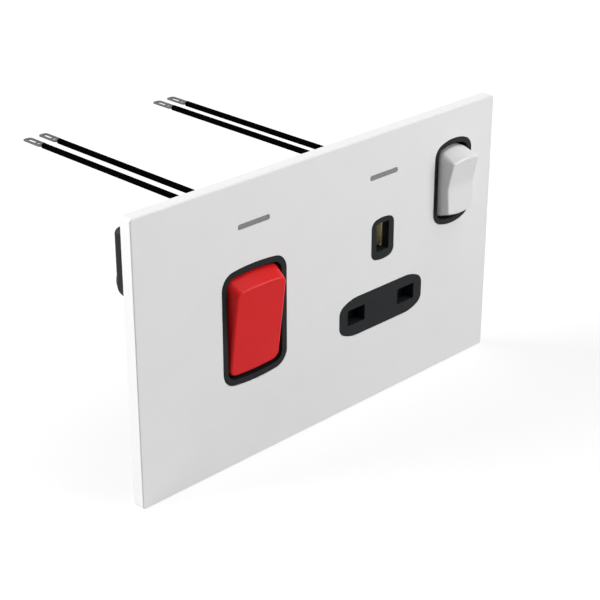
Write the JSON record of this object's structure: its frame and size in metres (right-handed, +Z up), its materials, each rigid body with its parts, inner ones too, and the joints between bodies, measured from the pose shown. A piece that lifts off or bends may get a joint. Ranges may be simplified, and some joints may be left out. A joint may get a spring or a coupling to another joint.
{
  "type": "cooker control unit",
  "caption": "Flush twin plate with a red rocker for a cooker, a shuttered switched socket with a white rocker, slim indicators with trailing leads, and terminals behind.",
  "frame": {"origin": "centre of the fixing plane, midway between the wall fixing holes", "axes": "+X right along the plate, +Y into the wall, +Z up"},
  "size_m": [0.146, 0.1054, 0.086],
  "materials": {
    "white_plastic": "satin moulded",
    "rocker_white": "semi-gloss moulded",
    "rocker_red": "semi-gloss moulded",
    "dark_plastic": "fine matt moulded",
    "shutter_plastic": "smooth moulded",
    "zinc_steel": "zinc plated",
    "tinned_metal": "tinned",
    "lead_sleeve": "smooth",
    "spring_steel": "bright drawn",
    "nylon": "smooth moulded",
    "lens": "frosted",
    "led_body": "clear resin",
    "board": "laminate",
    "copper": "rolled copper strip",
    "brass": "machined"
  },
  "bodies": {
    "base": {"cooker_fixed_contact_left": "copper", "cooker_fixed_contact_right": "copper", "cooker_indicator_board": "board", "cooker_indicator_cover": "dark_plastic", "cooker_indicator_led": "led_body", "cooker_indicator_lens": "lens", "cooker_lead_left": "lead_sleeve", "cooker_lead_right": "lead_sleeve", "cooker_lead_tag_left": "tinned_metal", "cooker_lead_tag_right": "tinned_metal", "cooker_pivot_bracket_left": "brass", "cooker_pivot_bracket_right": "brass", "cooker_terminal_screws": "zinc_steel", "earth_contact": "brass", "earth_strap": "copper", "earth_terminal": "brass", "earth_terminal_screw": "zinc_steel", "front_moulding": "dark_plastic", "front_plate": "white_plastic", "housing_screws": "zinc_steel", "live_contact": "brass", "live_link": "copper", "load_terminal_left": "brass", "load_terminal_right": "brass", "neutral_contact": "brass", "neutral_link": "copper", "rear_housing": "dark_plastic", "shutter_spring": "spring_steel", "socket_face": "dark_plastic", "socket_fixed_contact": "copper", "socket_indicator_board": "board", "socket_indicator_cover": "dark_plastic", "socket_indicator_led": "led_body", "socket_indicator_lens": "lens", "socket_lead_left": "lead_sleeve", "socket_lead_right": "lead_sleeve", "socket_lead_tag_left": "tinned_metal", "socket_lead_tag_right": "tinned_metal", "socket_pivot_bracket": "brass", "supply_terminal_left": "brass", "supply_terminal_right": "brass", "switched_live_link": "copper"},
    "cooker_rocker": {"cooker_rocker": "rocker_red", "cooker_plunger_spring_left": "spring_steel", "cooker_plunger_spring_right": "spring_steel"},
    "cooker_plunger_left": {"cooker_plunger_left": "nylon"},
    "cooker_plunger_right": {"cooker_plunger_right": "nylon"},
    "cooker_contact_left": {"cooker_moving_contact_left": "copper"},
    "cooker_contact_right": {"cooker_moving_contact_right": "copper"},
    "socket_rocker": {"socket_rocker": "rocker_white", "socket_plunger_spring": "spring_steel"},
    "socket_plunger": {"socket_plunger": "nylon"},
    "socket_contact": {"socket_moving_contact": "copper"},
    "shutter": {"shutter": "shutter_plastic"}
  },
  "joints": [
    {"name": "cooker_rocker_tilt", "type": "hinge", "parent": "base", "child": "cooker_rocker", "pos_m": [-0.02994, -0.0006, 0], "axis": [-1, 0, 0], "range_deg": [0, 15.2]},
    {"name": "socket_rocker_tilt", "type": "hinge", "parent": "base", "child": "socket_rocker", "pos_m": [0.05445, -0.0006, 0.01942], "axis": [-1, 0, 0], "range_deg": [0, 10]},
    {"name": "cooker_plunger_left_slide", "type": "slide", "parent": "cooker_rocker", "child": "cooker_plunger_left", "axis": [0, -0.9912, -0.1323], "range_m": [0, 0.001], "stiffness_N_per_m": 300, "springref_m": -0.002, "deforming": ["cooker_plunger_spring_left"]},
    {"name": "cooker_contact_left_tilt", "type": "hinge", "parent": "base", "child": "cooker_contact_left", "pos_m": [-0.03514, 0.013, 0], "axis": [1, 0, 0], "range_deg": [0, 12]},
    {"name": "cooker_plunger_right_slide", "type": "slide", "parent": "cooker_rocker", "child": "cooker_plunger_right", "axis": [0, -0.9912, -0.1323], "range_m": [0, 0.001], "stiffness_N_per_m": 300, "springref_m": -0.002, "deforming": ["cooker_plunger_spring_right"]},
    {"name": "cooker_contact_right_tilt", "type": "hinge", "parent": "base", "child": "cooker_contact_right", "pos_m": [-0.02474, 0.013, 0], "axis": [1, 0, 0], "range_deg": [0, 12]},
    {"name": "socket_plunger_slide", "type": "slide", "parent": "socket_rocker", "child": "socket_plunger", "axis": [0, -0.9962, -0.0872], "range_m": [0, 0.001], "stiffness_N_per_m": 300, "springref_m": -0.002, "deforming": ["socket_plunger_spring"]},
    {"name": "socket_contact_tilt", "type": "hinge", "parent": "base", "child": "socket_contact", "pos_m": [0.05445, 0.0106, 0.01942], "axis": [1, 0, 0], "range_deg": [0, 10]},
    {"name": "shutter_slide", "type": "slide", "parent": "base", "child": "shutter", "axis": [0, 0, -1], "range_m": [0, 0.0056], "stiffness_N_per_m": 60, "springref_m": -0.003, "deforming": ["shutter_spring"]}
  ],
  "couplings": [
    {"joint": "cooker_contact_left_tilt", "follows": "cooker_rocker_tilt", "ratio": 0.78947},
    {"joint": "cooker_contact_right_tilt", "follows": "cooker_rocker_tilt", "ratio": 0.78947},
    {"joint": "socket_contact_tilt", "follows": "socket_rocker_tilt", "ratio": 1}
  ]
}
